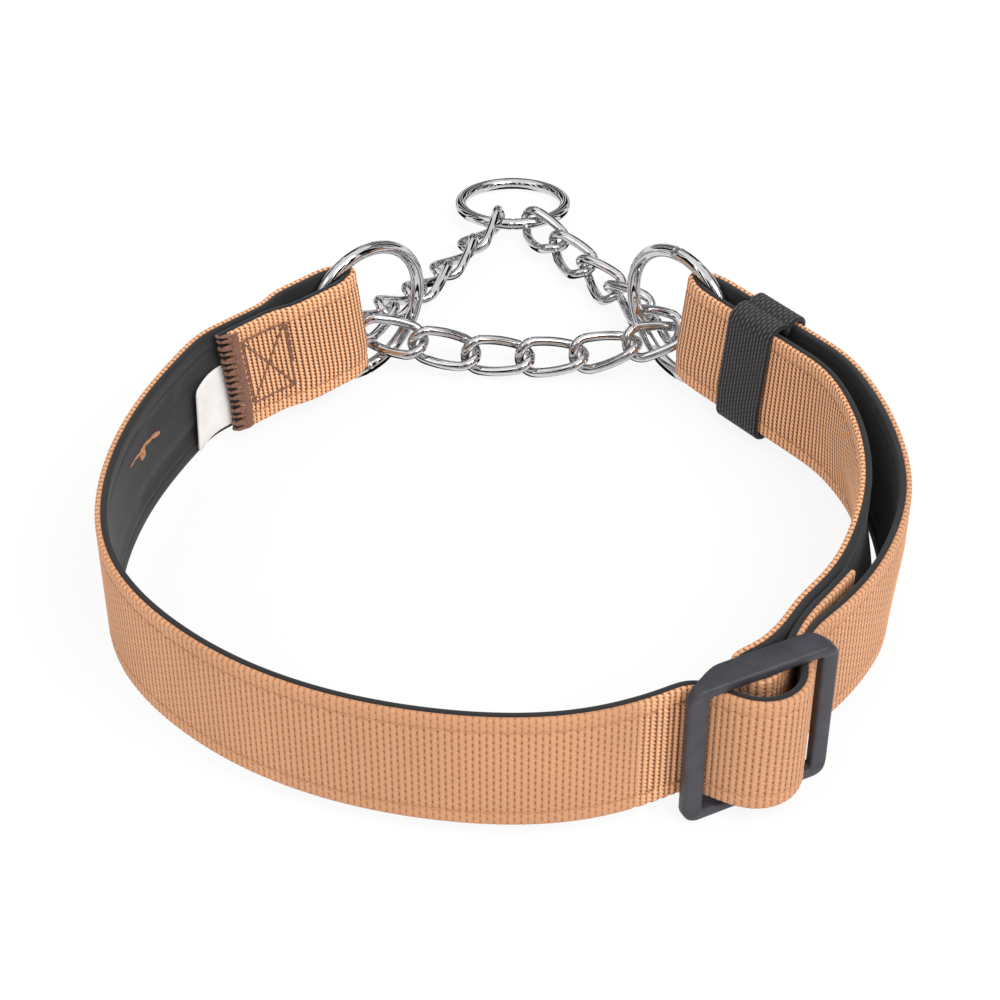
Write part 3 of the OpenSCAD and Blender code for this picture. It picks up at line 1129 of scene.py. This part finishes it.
@dataclass
class StrapStitching:
    """Sewing threads of the strap: edge seams, the sewn end's box and its bound edge."""

    path: StrapPath
    tan: bpy.types.Material
    brown: bpy.types.Material
    width: float = 25.0
    face: float = -1.1
    seam_in: float = 3.0
    seam_sunk: float = 0.15
    seam_clear: float = 0.2
    seam_thread: float = 0.2
    stitch: float = 2.6
    pitch: float = 3.0
    mirror_at: float = 71.6
    box: tuple[float, float, float, float] = (4.2, 15.0, 5.6, 21.8)
    box_stitch: float = 1.9
    box_thread: float = 0.32
    skin: float = 0.02
    bound_count: int = 46
    bound_margin: float = 0.3
    bound_arcs: tuple[float, float] = (1.7, 3.9)
    bound_wander: float = 0.25
    bound_threads: tuple[float, float] = (0.3, 0.26)
    teeth: int = 23
    tooth_margin: float = 0.5
    tooth_slip: float = 0.5
    tooth_root: float = 2.4
    tooth_reach: float = 0.35
    tooth_threads: tuple[float, float] = (0.42, 0.36)
    under: float = 0.8
    tooth_face: float = -0.45
    inner_face: float = 1.3
    tack: tuple[tuple[tuple[float, float], tuple[float, float], float], ...] = (
        ((96.6, 15.3), (100.6, 16.4), 0.5),
        ((100.0, 16.2), (104.2, 17.2), 0.36),
        ((103.4, 17.0), (106.4, 16.6), 0.42),
        ((104.0, 16.4), (105.2, 14.8), 0.5),
        ((105.4, 14.6), (106.0, 16.4), 0.45),
        ((105.6, 16.8), (109.2, 17.5), 0.24),
        ((108.6, 17.4), (111.6, 17.6), 0.16),
    )

    def add_stitch(self, shape: bmesh.types.BMesh, a: Vector, b: Vector, radius: float) -> None:
        """Adds one stitch as a slim grain of thread.

        Args:
            shape: The bmesh to add to.
            a: First end.
            b: Second end.
            radius: Radius of the thread in millimetres.
        """
        turn = (b - a).to_track_quat("Z", "Y").to_matrix().to_4x4()
        size = Matrix.Diagonal((radius * MM, radius * MM, (b - a).length / 2, 1))
        made = bmesh.ops.create_uvsphere(
            shape,
            u_segments=6,
            v_segments=6,
            radius=1.0,
            matrix=Matrix.Translation((a + b) / 2) @ turn @ size,
        )
        for face in {face for vert in made["verts"] for face in vert.link_faces}:
            face.smooth = True

    def add_run(
        self, shape: bmesh.types.BMesh, ends: tuple[float, float, float, float], mirrored: bool
    ) -> None:
        """Adds a straight row of box stitches.

        Args:
            shape: The bmesh to add to.
            ends: Arc length and height of both ends.
            mirrored: True on the outer layer, where the row shows from the back.
        """
        a0, v0, a1, v1 = ends
        count = max(2, round(math.hypot(a1 - a0, v1 - v0) / self.box_stitch))
        spots = []
        for k in range(count + 1):
            arc = a0 + (a1 - a0) * k / count
            arc = self.mirror_at - arc if mirrored else arc
            spots.append(self.path.spot(arc, self.face + self.skin, v0 + (v1 - v0) * k / count))
        for near, far in zip(spots, spots[1:]):
            self.add_stitch(shape, near, far, self.box_thread)

    def seams(self, span: Span) -> bpy.types.Object:
        """Sews both edge seams of a stretch.

        Args:
            span: The stretch.

        Returns:
            The piece.
        """
        shape = bmesh.new()
        first = math.ceil((span.start + self.seam_clear) / self.pitch)
        last = math.floor((span.end - self.seam_clear) / self.pitch)
        depth = self.face + self.seam_sunk
        for k in range(first, last + 1):
            for height in (self.seam_in, self.width - self.seam_in):
                a = self.path.spot(k * self.pitch, depth, height)
                b = self.path.spot(k * self.pitch + self.stitch, depth, height)
                self.add_stitch(shape, a, b, self.seam_thread)
        return finish_piece(f"seam_{span.name}", shape, self.tan)

    def sewn_box(self) -> bpy.types.Object:
        """Sews the box and cross through both layers of the sewn end.

        Returns:
            The piece.
        """
        a0, a1, v0, v1 = self.box
        shape = bmesh.new()
        rows = ((a0, v0, a1, v0), (a1, v0, a1, v1), (a1, v1, a0, v1), (a0, v1, a0, v0))
        cross = ((a0, v0, a1, v1), (a0, v1, a1, v0), (a1 + 0.5, v1, a1 + 0.4, v0 + 6))
        for row in rows + cross:
            self.add_run(shape, row, False)
            self.add_run(shape, row, True)
        return finish_piece("sewn_box", shape, self.brown)

    def bound_edge(self) -> bpy.types.Object:
        """Binds the cut end with a close satin stitch that wraps over the edge and frays below.

        Returns:
            The piece.
        """
        shape = bmesh.new()
        rise = (self.width - 2 * self.bound_margin) / self.bound_count
        skin = self.face - self.skin
        for k in range(self.bound_count):
            low = self.bound_margin + rise * k
            arcs = (
                arc + self.bound_wander * math.sin(k * beat)
                for arc, beat in zip(self.bound_arcs, (1.3, 2.4))
            )
            near = self.path.spot(next(arcs), skin, low)
            far = self.path.spot(next(arcs), skin, low + rise * 0.6)
            self.add_stitch(shape, near, far, self.bound_threads[0])
            self.add_stitch(shape, far, near + Vector((0, 0, rise * MM)), self.bound_threads[1])
        for k in range(self.teeth):
            low = self.tooth_margin + (self.width - 2 * self.tooth_margin) * k / (self.teeth - 1)
            slip = self.tooth_slip * math.sin(k * 2.1)
            edge = self.path.spot(0, self.face, low)
            out = (edge - self.path.spot(1, self.face, low)).normalized() * MM
            root = self.path.spot(self.tooth_root, self.face + 0.05, low + slip * 0.4)
            reach = self.tooth_reach + 0.25 * math.sin(k * 1.7)
            tip = self.path.spot(0, self.tooth_face, low + slip) + out * reach
            under = self.path.spot(0, self.under, low + slip) + out * 0.3
            self.add_stitch(shape, root, tip, self.tooth_threads[0])
            self.add_stitch(shape, tip, under, self.tooth_threads[1])
        return finish_piece("bound_edge", shape, self.brown)

    def loose_tack(self) -> bpy.types.Object:
        """Lays the loose tacking thread on the lining.

        Returns:
            The piece.
        """
        shape = bmesh.new()
        for start, end, radius in self.tack:
            a, b = (self.path.spot(arc, self.inner_face, height) for arc, height in (start, end))
            self.add_stitch(shape, a, b, radius)
        return finish_piece("loose_tack", shape, self.tan)

    def dress(self) -> None:
        """Sews everything and attaches the pieces on the strap and slider to what they move with."""
        for span in SPANS:
            carry(self.seams(span), span.carrier, self.path)
        for piece in (self.sewn_box(), self.bound_edge(), self.loose_tack()):
            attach(piece, "strap")


@dataclass
class SizeLabel:
    """Bare white label caught in the sewn end."""

    path: StrapPath
    satin: bpy.types.Material
    start: float = 67.2
    end: float = 84.0
    low: float = 1.2
    high: float = 16.6
    corner: float = 1.1
    gap: float = 1.3
    thick: float = 0.3
    edge_round: float = 0.12
    sewn: float = 7.0
    curl: float = 0.9
    lean: float = 0.5
    blunt: float = 0.98

    def dress(self) -> None:
        """Builds the label and puts it on the strap."""
        arc = np.linspace(self.start, self.end, 33)
        low, high = (self.gap, self.low), (self.gap + self.thick, self.high)
        ring = rounded_section(low, high, self.edge_round, 2)
        sides = [np.linspace(a, b, 8)[:-1] for a, b in zip(ring[:-1], ring[1:])]
        rows = np.concatenate(sides + [ring[-1:]])
        free = self.start + self.sewn
        share = np.clip((arc - free) / (self.end - free), 0, 1)[:, None]
        depth = rows[None, :, 0] + self.curl * share**2
        lean = self.lean * share * (rows[None, :, 1] - self.low) / (self.high - self.low)
        past = np.clip(arc - self.end + self.corner, 0, self.corner)[:, None]
        inset = self.corner - np.sqrt(self.corner**2 - self.blunt * past**2)
        middle = (self.low + self.high) / 2
        height = middle + (rows[None, :, 1] - middle) * (1 - inset / (middle - self.low))
        across = ruler(rows)
        shape = bmesh.new()
        add_surface(shape, self.path.place(arc, depth + lean, height), charted(across, arc))
        piece = finish_piece("bare_label", shape, self.satin)
        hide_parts("size_label")
        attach(piece, "strap")


@dataclass
class Slider:
    """Three-bar slider: a frame lofted round its windows, and the middle bar."""

    node: bpy.types.Object
    plastic: bpy.types.Material
    heading: float = 26.5
    length: float = 29.2
    top: float = 31.0
    depth: float = 5.4
    rail: float = 2.0
    broad: float = 3.9
    narrow: float = 3.3
    broad_taper: float = 8.0
    narrow_taper: float = 4.0
    bar_t: float = 2.5
    rail_out: float = 4.1
    corner: float = 3.0
    window_corner: float = 0.7
    rail_round: float = 0.6
    shoulder: tuple[float, float] = (2.8, 2.2)
    bar_drop: float = 0.35
    middle: tuple[float, float, float, float] = (-1.2, 2.2, -1.3, 1.1)
    middle_round: float = 0.8
    middle_in: float = 0.8
    quarter: int = 36

    def seat(self) -> tuple[Vector, Vector, Vector]:
        """Returns the slider's origin and its directions along the strap and outward."""
        a = math.radians(self.heading)
        along = Vector((math.cos(a), math.sin(a), 0))
        out = Vector((along.y, -along.x, 0))
        spots = [vert.co for vert in self.node.data.vertices]
        s = [spot.dot(along) for spot in spots]
        n = [spot.dot(out) for spot in spots]
        origin = along * ((min(s) + max(s)) / 2) + out * (max(n) - self.rail_out * MM)
        return origin / MM, along, out

    def outline(
        self, low: tuple[float, float], high: tuple[float, float], radius: float
    ) -> np.ndarray:
        """Spreads points over a rounded rectangle: a third of a quarter on each side and corner.

        Args:
            low: Lowest corner.
            high: Highest corner.
            radius: Radius of the corners.

        Returns:
            Closed outline.
        """
        centre = (np.array(low) + high) / 2
        hx, hy = (high[0] - low[0]) / 2, (high[1] - low[1]) / 2
        flat, tall = hx - radius, hy - radius
        side = np.linspace(0, 1, self.quarter // 3 + 1)[:-1]
        bend = side * math.pi / 2
        half = [(hx, k * tall) for k in side]
        half += [(flat + radius * math.cos(a), tall + radius * math.sin(a)) for a in bend]
        half += [(flat * (1 - k), hy) for k in side]
        half += [(-flat * k, hy) for k in side]
        half += [(-flat - radius * math.sin(a), tall + radius * math.cos(a)) for a in bend]
        half += [(-hx, (1 - k) * tall) for k in side]
        other = [(-x, -y) for x, y in half]
        return centre + np.array(half + other + half[:1])

    def frame_table(self) -> np.ndarray:
        """Returns the lofted frame's places in the slider's own axes: along, up, outward."""
        half = self.length / 2
        outer = self.outline((-half, 0), (half, self.top), self.corner)
        low = (-half + self.broad, self.rail)
        inner = self.outline(low, (half - self.narrow, self.top - self.rail), self.window_corner)
        start, run = self.shoulder
        share = eased((np.abs(outer[:, 1] - self.top / 2) - self.top / 2 + start) / run)
        near = (outer[:, 0] + half) / self.broad_taper
        far = (half - outer[:, 0]) / self.narrow_taper
        taper = eased(np.minimum(near, far))
        back = self.rail_out - self.bar_t - share * taper * (self.depth - self.bar_t)
        front = self.rail_out - self.bar_drop * (1 - share)
        stations = []
        for o, i, b, f in zip(outer, inner, back, front):
            reach = np.linalg.norm(i - o)
            ring = rounded_section((0, b), (reach, f), self.rail_round)
            across = (i - o) / reach
            stations.append([(*(o + across * q), n) for q, n in ring])
        return np.array(stations)

    def bar_table(self) -> np.ndarray:
        """Returns the middle bar's places in the slider's own axes."""
        s0, s1, n0, n1 = self.middle
        ring = rounded_section((s0, n0), (s1, n1), self.middle_round, 4)
        levels = np.linspace(self.middle_in, self.top - self.middle_in, 12)
        return np.array([[(s, z, n) for s, n in ring] for z in levels])

    def dress(self) -> None:
        """Builds the slider in the place of its solid."""
        origin, along, out = self.seat()
        axes = np.array((tuple(along), (0, 0, 1), tuple(out)))
        shape = bmesh.new()
        for table in (self.frame_table(), self.bar_table()):
            world = table @ axes + np.array(origin)
            chart = np.zeros((*table.shape[:2], 2))
            add_surface(shape, world, chart)
        piece = finish_piece("three_bar_slider", shape, self.plastic)
        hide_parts("slider")
        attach(piece, "slider")


@dataclass
class ElasticKeeper:
    """Elastic loop round both layers, sunk between them at its top and bottom."""

    axis: Vector
    elastic: bpy.types.Material
    inner: tuple[float, float] = (8.8, 25.6)
    thick: float = 1.0
    width: float = 11.5
    cords: int = 14
    cord_height: float = 0.14
    cord_round: float = 0.8
    hem: float = 0.5
    dip: float = 2.2
    lobe: float = 2.4
    lobe_in: float = 1.5
    lobe_turn: tuple[float, float] = (12.0, 158.0)
    lean: float = 0.09
    lean_from: float = 6.0

    def dress(self) -> None:
        """Builds the keeper in the place of its solid."""
        low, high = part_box("elastic_keeper")
        middle = np.array((low + high) / 2) / MM
        along = np.array(self.axis.normalized())
        across = np.array((-along[1], along[0], 0))
        loop = self.loop_line()
        way = np.roll(loop[:-1], -1, axis=0) - np.roll(loop[:-1], 1, axis=0)
        way = way / np.linalg.norm(way, axis=1)[:, None]
        out = np.stack((way[:, 1], -way[:, 0]), axis=1)
        out = np.concatenate((out, out[:1]))
        half = self.width / 2
        ribs = np.linspace(-half, half, self.cords * 6 + 1)
        phase = (ribs + half) * self.cords / self.width
        cord = np.abs(np.sin(math.pi * phase)) ** self.cord_round
        swell = 1 - self.cord_height + self.cord_height * cord
        swell[0] = swell[-1] = self.hem
        face = [(x, self.thick * k) for x, k in zip(ribs, swell)]
        under = [(x, 0.0) for x in np.linspace(half, -half, 15)]
        ring = np.array(face + under + face[:1])
        place = loop[:, None, :] + ring[None, :, 1, None] * out[:, None, :]
        lean = self.lean * np.maximum(0, place[:, :, 1] + self.inner[1] / 2 - self.lean_from)
        table = (
            middle
            + (ring[None, :, 0] + lean)[:, :, None] * along
            + place[:, :, 0, None] * across
            + place[:, :, 1, None] * np.array((0, 0, 1))
        )
        chart = charted((ring[:, 0] + half) * self.cords / self.width, ruler(loop))
        shape = bmesh.new()
        add_surface(shape, table, chart)
        piece = finish_piece("elastic_loop", shape, self.elastic)
        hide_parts("elastic_keeper")
        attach(piece, "keeper")

    def loop_line(self) -> np.ndarray:
        """Returns the closed inner line of the loop, across and up from its middle."""
        hx, hy = self.inner[0] / 2, self.inner[1] / 2
        points = [(hx, y) for y in np.linspace(1 - hy, hy - 1, 25)[:-1]]
        first, last = np.radians(self.lobe_turn)
        lobe = []
        for a in np.linspace(first, last, 15):
            x = (1 + math.cos(a) / math.cos(first)) * hx / 2
            lobe.append((x, hy - self.lobe_in + self.lobe * math.sin(a)))
        points += lobe + [(0.0, hy - self.dip)] + [(-x, y) for x, y in reversed(lobe)]
        other = [(-x, -y) for x, y in points]
        return np.array(points + other + points[:1])


@dataclass
class WireRing:
    """Welded ring of round wire, spun about the axis of its solid."""

    node: str
    body: str
    chrome: bpy.types.Material
    wire: float
    weld_towards: tuple[float, float, float]
    bead: tuple[float, float] = (0.06, 1.1)
    notch: tuple[float, float] = (0.14, 0.3)

    def swell(self, off: float) -> float:
        """Gives the wire's thickness near the weld: a bead with a notch in its middle.

        Args:
            off: Distance from the weld, in millimetres.

        Returns:
            The thickness, as a share of the plain wire's.
        """
        (bead, bead_run), (notch, notch_run) = self.bead, self.notch
        swell = 1 + bead * math.exp(-((off / bead_run) ** 2))
        return swell - notch * math.exp(-((off / notch_run) ** 2))

    def dress(self) -> None:
        """Builds the ring in the place of its solid, with its weld."""
        spots = np.array([vert.co for vert in bpy.data.objects[self.node].data.vertices]) / MM
        centre = (spots.min(axis=0) + spots.max(axis=0)) / 2
        axis = Vector(np.linalg.eigh(np.cov((spots - centre).T))[1][:, 0])
        reach = np.linalg.norm(spots - centre, axis=1).max() - self.wire / 2
        weld = Vector(self.weld_towards)
        weld = (weld - axis * weld.dot(axis)).normalized()
        across = axis.cross(weld)
        shape = bmesh.new()
        turn = Matrix((weld, across, axis)).transposed().to_4x4()
        stand = Matrix.Translation(Vector(centre) * MM) @ turn
        made = bmesh.ops.create_circle(
            shape, segments=28, radius=self.wire / 2 * MM, matrix=Matrix.Rotation(math.pi / 2, 4, "X")
        )
        bmesh.ops.translate(shape, verts=made["verts"], vec=(-reach * MM, 0, 0))
        bmesh.ops.spin(
            shape,
            geom=list(shape.verts) + list(shape.edges),
            cent=(0, 0, 0),
            axis=(0, 0, 1),
            angle=2 * math.pi,
            steps=224,
            use_merge=True,
        )
        for vert in shape.verts:
            a = math.atan2(vert.co.y, vert.co.x)
            core = Vector((reach * MM * math.cos(a), reach * MM * math.sin(a), 0))
            vert.co = core + (vert.co - core) * self.swell(abs(a) * reach)
        bmesh.ops.transform(shape, matrix=stand, verts=shape.verts)
        for face in shape.faces:
            face.smooth = True
        piece = finish_piece(f"{self.node}_wire", shape, self.chrome)
        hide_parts(self.node)
        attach(piece, self.body)


@dataclass
class CurbLink:
    """Twisted curb link, swept along the centre line of its solid."""

    node: str
    chrome: bpy.types.Material
    pitch: float = 11.6
    width: float = 8.8
    wire: float = 2.1
    play: float = 0.4
    twist: float = -90.0
    waist: float = 1.0

    def axes(self) -> tuple[np.ndarray, np.ndarray]:
        """Returns the middle of the link and its three axes, found from its solid."""
        spots = np.array([vert.co for vert in bpy.data.objects[self.node].data.vertices]) / MM
        spots = np.unique(spots.round(4), axis=0)
        middle = spots.mean(axis=0)
        along = np.linalg.eigh(np.cov((spots - middle).T))[1][:, 2]
        off = (spots - middle) @ along
        waist = (spots - middle)[np.abs(off) < self.waist]
        waist = waist - np.outer(waist @ along, along)
        side = np.linalg.eigh(waist.T @ waist)[1][:, 2]
        side = side - along * (side @ along)
        side = side / np.linalg.norm(side)
        return middle, np.array((along, side, np.cross(along, side)))

    def line(self) -> np.ndarray:
        """Returns the closed centre line: a stadium twisted along its length."""
        bend = (self.width - self.wire) / 2
        length = self.pitch + self.wire + self.play
        arm = length / 2 - bend
        flat = [(x, -bend) for x in np.linspace(-arm, arm, 17)[:-1]]
        for a in np.linspace(0, math.pi, 33)[:-1]:
            flat.append((arm + bend * math.sin(a), -bend * math.cos(a)))
        flat += [(-x, -y) for x, y in flat]
        turned = []
        for x, y in flat + flat[:1]:
            a = math.radians(self.twist * x / length)
            turned.append((x, y * math.cos(a), y * math.sin(a)))
        return np.array(turned)

    def dress(self) -> None:
        """Builds the link in the place of its solid."""
        middle, axes = self.axes()
        line = self.line()
        way = np.roll(line[:-1], -1, axis=0) - np.roll(line[:-1], 1, axis=0)
        way = way / np.linalg.norm(way, axis=1)[:, None]
        out = line[:-1] - np.sum(line[:-1] * way, axis=1)[:, None] * way
        out = out / np.linalg.norm(out, axis=1)[:, None]
        side = np.cross(way, out)
        out, side = (np.concatenate((part, part[:1])) for part in (out, side))
        turn = np.linspace(0, 2 * math.pi, 21)
        cosine, sine = np.cos(turn)[None, :, None], np.sin(turn)[None, :, None]
        ring = (self.wire / 2) * (cosine * out[:, None, :] + sine * side[:, None, :])
        table = (line[:, None, :] + ring) @ axes + middle
        shape = bmesh.new()
        add_surface(shape, table, np.zeros((*table.shape[:2], 2)))
        piece = finish_piece(f"{self.node}_wire", shape, self.chrome)
        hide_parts(self.node)
        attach(piece, self.node)


@dataclass
class Studio:
    """Camera at the photograph's viewing angle, pale floor and soft light."""

    target: tuple[float, float, float] = (-1.1, -17.9, 3.7)
    elevation: float = 39.38
    distance: float = 477.75
    lens: float = 86.4
    curtain: tuple[float, float, float] = (1.0, 0.04, 1.1)
    panels: int = 9
    panel_faces: int = 8
    panel_gaps: tuple[int, int] = (0, 3)
    # Dark cards under the chain, painted floor shadow seen only in the chrome: width, pitch, reach
    # and middle.
    cards: tuple[float, float, float, float] = (0.006, 0.015, 0.16, 0.06)
    cards_each_way: int = 7
    cards_up: float = 0.0001
    tent: float = 0.74
    lamps: tuple[tuple[str, tuple[float, float, float], float, float], ...] = (
        ("key", (0.6, -0.7, 1.1), 0.9, 13.0),
        ("fill", (-0.9, -0.5, 0.8), 0.9, 2.0),
    )
    floor_half: float = 3.0
    floor_glow: float = 0.88
    floor_drop: float = 0.00005

    def camera(self) -> None:
        """Makes the camera."""
        data = bpy.data.cameras.new("photo_view")
        data.lens = self.lens
        data.sensor_width = 36.0
        data.sensor_fit = "HORIZONTAL"
        data.clip_start = 0.01
        camera = bpy.data.objects.new("photo_view", data)
        e = math.radians(self.elevation)
        back = Vector((0, -math.cos(e), math.sin(e)))
        camera.location = (Vector(self.target) + back * self.distance) * MM
        camera.rotation_euler = (-back).to_track_quat("-Z", "Y").to_euler()
        bpy.context.scene.collection.objects.link(camera)
        bpy.context.scene.camera = camera

    @staticmethod
    def seen(tree: bpy.types.NodeTree) -> bpy.types.NodeSocket:
        """Returns 1 for what the camera sees, straight, mirrored or through glass.

        Args:
            tree: Node tree to add to.

        Returns:
            The value socket.
        """
        rays = tree.nodes.new("ShaderNodeLightPath")
        value = rays.outputs["Is Camera Ray"]
        for name in ("Is Glossy Ray", "Is Transmission Ray"):
            node = tree.nodes.new("ShaderNodeMath")
            node.operation = "MAXIMUM"
            tree.links.new(value, node.inputs[0])
            tree.links.new(rays.outputs[name], node.inputs[1])
            value = node.outputs[0]
        return value

    def floor(self) -> None:
        """Makes the pale floor."""
        shape = bmesh.new()
        bmesh.ops.create_grid(shape, x_segments=4, y_segments=4, size=self.floor_half)
        bmesh.ops.translate(shape, verts=shape.verts, vec=(0, 0, -self.floor_drop))
        mesh = bpy.data.meshes.new("floor")
        shape.to_mesh(mesh)
        shape.free()
        mix = Recipe("pale_floor")
        mix.plain(Base_Color=(0.94, 0.94, 0.94, 1), Roughness=0.9)
        glow = mix.tree.nodes.new("ShaderNodeEmission")
        glow.inputs["Strength"].default_value = 1.0
        blend = mix.tree.nodes.new("ShaderNodeMixShader")
        share = mix.math("MULTIPLY", self.seen(mix.tree), self.floor_glow)
        mix.feed(blend.inputs[0], share)
        mix.feed(blend.inputs[1], mix.shader.outputs["BSDF"])
        mix.feed(blend.inputs[2], glow.outputs[0])
        output = next(n for n in mix.tree.nodes if n.type == "OUTPUT_MATERIAL")
        mix.feed(output.inputs["Surface"], blend.outputs[0])
        mesh.materials.append(mix.material)
        floor = bpy.data.objects.new("floor", mesh)
        bpy.context.scene.collection.objects.link(floor)

    def dark_curtain(self) -> None:
        """Hangs dark panels round the tent, which show only as streaks in polished metal."""
        radius, low, high = self.curtain
        count = self.panels * self.panel_faces
        shape = bmesh.new()
        made = bmesh.ops.create_circle(shape, segments=count, radius=radius)
        bmesh.ops.translate(shape, verts=made["verts"], vec=(0, 0, low))
        top = bmesh.ops.extrude_edge_only(shape, edges=shape.edges)["geom"]
        rim = [item for item in top if isinstance(item, bmesh.types.BMVert)]
        bmesh.ops.translate(shape, verts=rim, vec=(0, 0, high - low))
        gaps = []
        for face in shape.faces:
            middle = face.calc_center_median()
            k = math.floor(math.atan2(middle.y, middle.x) / (2 * math.pi) * count)
            if k % self.panel_faces in self.panel_gaps:
                gaps.append(face)
        bmesh.ops.delete(shape, geom=gaps, context="FACES")
        self.hang(shape, "dark_curtain")

    def dark_cards(self) -> None:
        """Lays narrow dark cards under the chain as painted shadow of the floor there, which show
        only as streaks in polished metal.
        """
        width, pitch, reach, middle = self.cards
        shape = bmesh.new()
        for k in range(-self.cards_each_way, self.cards_each_way + 1):
            place = Matrix.Translation((0, middle + pitch * k, self.cards_up))
            size = Matrix.Diagonal((reach, width, 1, 1))
            bmesh.ops.create_grid(shape, size=0.5, matrix=place @ size, x_segments=1, y_segments=1)
        self.hang(shape, "dark_cards")

    @staticmethod
    def hang(shape: bmesh.types.BMesh, name: str) -> None:
        """Puts up black cloth that only polished metal shows.

        Args:
            shape: The bmesh of the cloth, which is freed.
            name: Name of the cloth.
        """
        mesh = bpy.data.meshes.new(name)
        shape.to_mesh(mesh)
        shape.free()
        mix = Recipe(f"{name}_cloth")
        mix.plain(Base_Color=(0.01, 0.01, 0.01, 1), Roughness=1.0, Specular_IOR_Level=0.0)
        mesh.materials.append(mix.material)
        cloth = bpy.data.objects.new(name, mesh)
        bpy.context.scene.collection.objects.link(cloth)
        cloth.visible_camera = False
        cloth.visible_diffuse = False
        cloth.visible_shadow = False

    def light(self) -> None:
        """Lights the room: a white tent and two soft lamps."""
        world = bpy.data.worlds.new("tent")
        bpy.context.scene.world = world
        world.use_nodes = True
        tree = world.node_tree
        tree.nodes.clear()
        tent = tree.nodes.new("ShaderNodeBackground")
        tent.inputs["Color"].default_value = (1, 1, 1, 1)
        tent.inputs["Strength"].default_value = self.tent
        plain = tree.nodes.new("ShaderNodeBackground")
        plain.inputs["Color"].default_value = (1, 1, 1, 1)
        blend = tree.nodes.new("ShaderNodeMixShader")
        tree.links.new(self.seen(tree), blend.inputs[0])
        tree.links.new(tent.outputs[0], blend.inputs[1])
        tree.links.new(plain.outputs[0], blend.inputs[2])
        output = tree.nodes.new("ShaderNodeOutputWorld")
        tree.links.new(blend.outputs[0], output.inputs["Surface"])
        for name, place, size, power in self.lamps:
            data = bpy.data.lights.new(name, "AREA")
            data.size = size
            data.energy = power
            lamp = bpy.data.objects.new(name, data)
            lamp.location = place
            lamp.rotation_euler = (-Vector(place)).to_track_quat("-Z", "Y").to_euler()
            bpy.context.scene.collection.objects.link(lamp)

    def dress(self) -> None:
        """Makes the camera, floor and light."""
        self.camera()
        self.floor()
        self.dark_curtain()
        self.dark_cards()
        self.light()
        bpy.context.scene.view_settings.view_transform = "Standard"


def main() -> None:
    """Builds the collar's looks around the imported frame."""
    logging.basicConfig(level=logging.INFO, format="%(name)s %(message)s")
    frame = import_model()
    Studio().dress()
    nodes = frame["nodes"]
    path = StrapPath(nodes["webbing"], nodes["lining"])
    tan = ThreadFinish("tan_thread", srgb(196, 141, 101), srgb(168, 116, 80)).material()
    brown = ThreadFinish("brown_thread", srgb(148, 103, 82), srgb(108, 71, 54)).material()
    LinedStrap(path, WovenFinish().material(), NeopreneFinish().material()).dress()
    StrapStitching(path, tan, brown).dress()
    SizeLabel(path, LabelFinish().material()).dress()
    Slider(nodes["slider"], MouldedFinish().material()).dress()
    slide = next(j for j in frame["joints"] if j["name"] == "keeper_slide")
    ElasticKeeper(Vector(slide["axis"]), ElasticFinish().material()).dress()
    chrome = ChromeFinish().material()
    WireRing("left_ring", "left_ring", chrome, 2.8, (0, 0, -1)).dress()
    WireRing("right_ring", "right_ring", chrome, 2.8, (-0.2, 0, 1)).dress()
    WireRing("leash_ring", "leash_ring", chrome, 2.6, (0, -1, 0)).dress()
    for name in sorted(nodes):
        if name.startswith("chain_"):
            CurbLink(name, chrome).dress()


if __name__ == "__main__":
    main()
